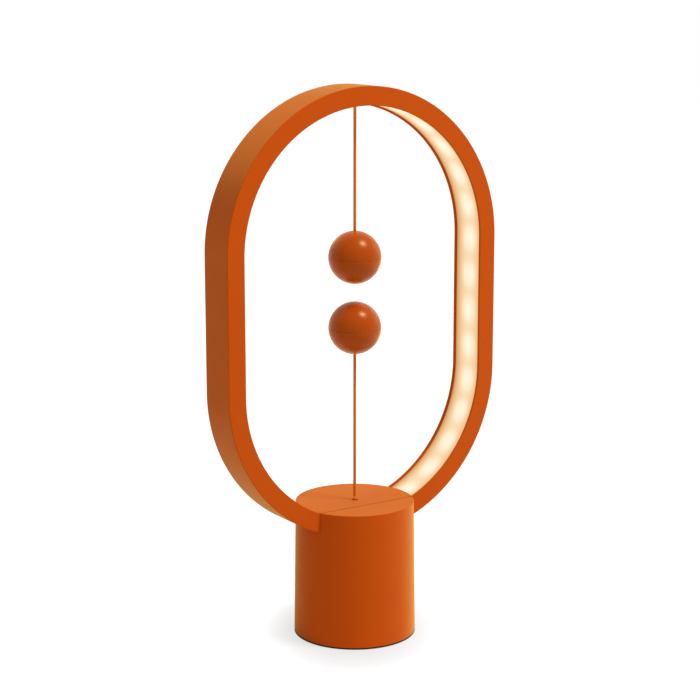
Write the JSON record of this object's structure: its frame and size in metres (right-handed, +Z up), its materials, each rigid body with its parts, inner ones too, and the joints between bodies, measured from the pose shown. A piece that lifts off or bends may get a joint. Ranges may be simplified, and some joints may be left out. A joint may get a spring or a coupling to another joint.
{
  "type": "magnetic balance lamp",
  "caption": "Table lamp: a lit stadium ring on a round weighted base, with magnet balls on strings that draw together in mid-air and pull its switch on.",
  "frame": {"origin": "centre of the foot's underside, on the surface that the lamp stands on", "axes": "+Z up, X across the ring, front towards -Y; the inlet is at the back, towards +Y"},
  "size_m": [0.2264, 0.0892, 0.4],
  "materials": {
    "orange_plastic": "matte moulded, burnt orange",
    "milky_plastic": "milky translucent, lit warm white from behind",
    "orange_cord": "fine woven cord, orange",
    "bright_steel": "bright",
    "nickel_magnet": "nickel plated",
    "brass_bush": "turned",
    "cast_weight": "cast, plain",
    "black_rubber": "matte",
    "inner_plastic": "moulded, dark",
    "green_board": "solder mask",
    "white_strip": "flexible strip, white",
    "lead_sheath": "thin insulated lead, light grey"
  },
  "bodies": {
    "lamp": {"ring_frame": "orange_plastic", "diffuser": "milky_plastic", "led_strip": "white_strip", "upper_string_knot": "orange_cord", "upper_string_neck": "orange_cord", "base_shell": "orange_plastic", "top_cover": "orange_plastic", "ring_cradle": "inner_plastic", "cradle_screw_1": "bright_steel", "cradle_screw_2": "bright_steel", "cradle_screw_3": "bright_steel", "cradle_screw_4": "bright_steel", "guide_bush": "brass_bush", "return_spring": "bright_steel", "switch_body": "inner_plastic", "switch_screw_1": "bright_steel", "switch_screw_2": "bright_steel", "bottom_cover": "inner_plastic", "bottom_screw_1": "bright_steel", "bottom_screw_2": "bright_steel", "bottom_screw_3": "bright_steel", "weight_screw_1": "bright_steel", "weight_screw_2": "bright_steel", "foot_pad": "black_rubber", "counterweight": "cast_weight", "driver_board": "green_board", "board_screw_1": "bright_steel", "board_screw_2": "bright_steel", "power_inlet": "bright_steel", "strip_lead": "lead_sheath", "switch_lead": "lead_sheath"},
    "upper_bend": {"upper_string_bend": "orange_cord"},
    "upper_cord": {"upper_string": "orange_cord"},
    "upper_ball": {"upper_ball_string_half": "orange_plastic", "upper_ball_magnet_half": "orange_plastic", "upper_ball_magnet": "nickel_magnet", "upper_ball_knot": "orange_cord"},
    "pull": {"pull_rod": "bright_steel", "rod_collar": "bright_steel", "pull_knot": "orange_cord", "lower_string_tail": "orange_cord"},
    "switch_lever": {"switch_lever": "bright_steel"},
    "switch_button": {"switch_button": "white_strip"},
    "lower_bend": {"lower_string_bend": "orange_cord"},
    "lower_cord": {"lower_string": "orange_cord"},
    "lower_ball": {"lower_ball_string_half": "orange_plastic", "lower_ball_magnet_half": "orange_plastic", "lower_ball_magnet": "nickel_magnet", "lower_ball_knot": "orange_cord"}
  },
  "joints": [
    {"name": "upper_swing_fore_aft", "type": "hinge", "parent": "lamp", "child": "upper_bend", "pos_m": [0, 0, 0.38535], "axis": [1, 0, 0], "range_deg": [-75, 75]},
    {"name": "upper_swing_side", "type": "hinge", "parent": "upper_bend", "child": "upper_cord", "pos_m": [0, 0, 0.38535], "axis": [0, 1, 0], "range_deg": [-40, 40]},
    {"name": "upper_ball_spin", "type": "hinge", "parent": "upper_cord", "child": "upper_ball", "pos_m": [0, 0, 0.2781], "axis": [0, 0, 1], "continuous": true},
    {"name": "pull_slide", "type": "slide", "parent": "lamp", "child": "pull", "axis": [0, 0, 1], "range_m": [-0.002, 0], "stiffness_N_per_m": 300, "springref_m": 0.002, "deforming": ["return_spring"]},
    {"name": "lever_tilt", "type": "hinge", "parent": "lamp", "child": "switch_lever", "pos_m": [0.0204, 0, 0.0488], "axis": [0, 1, 0], "range_deg": [-7.2, 0]},
    {"name": "button_press", "type": "slide", "parent": "lamp", "child": "switch_button", "axis": [0, 0, 1], "range_m": [-0.00065, 0]},
    {"name": "lower_lean_fore_aft", "type": "hinge", "parent": "pull", "child": "lower_bend", "pos_m": [0, 0, 0.10245], "axis": [1, 0, 0], "range_deg": [-90, 90], "stiffness_Nm_per_rad": 0.08},
    {"name": "lower_lean_side", "type": "hinge", "parent": "lower_bend", "child": "lower_cord", "pos_m": [0, 0, 0.10245], "axis": [0, 1, 0], "range_deg": [-35, 35], "stiffness_Nm_per_rad": 0.08},
    {"name": "lower_ball_spin", "type": "hinge", "parent": "lower_cord", "child": "lower_ball", "pos_m": [0, 0, 0.227], "axis": [0, 0, 1], "continuous": true}
  ],
  "couplings": [
    {"joint": "lever_tilt", "follows": "pull_slide", "rad_per_m": 62.5},
    {"joint": "button_press", "follows": "pull_slide", "ratio": 0.3125}
  ]
}
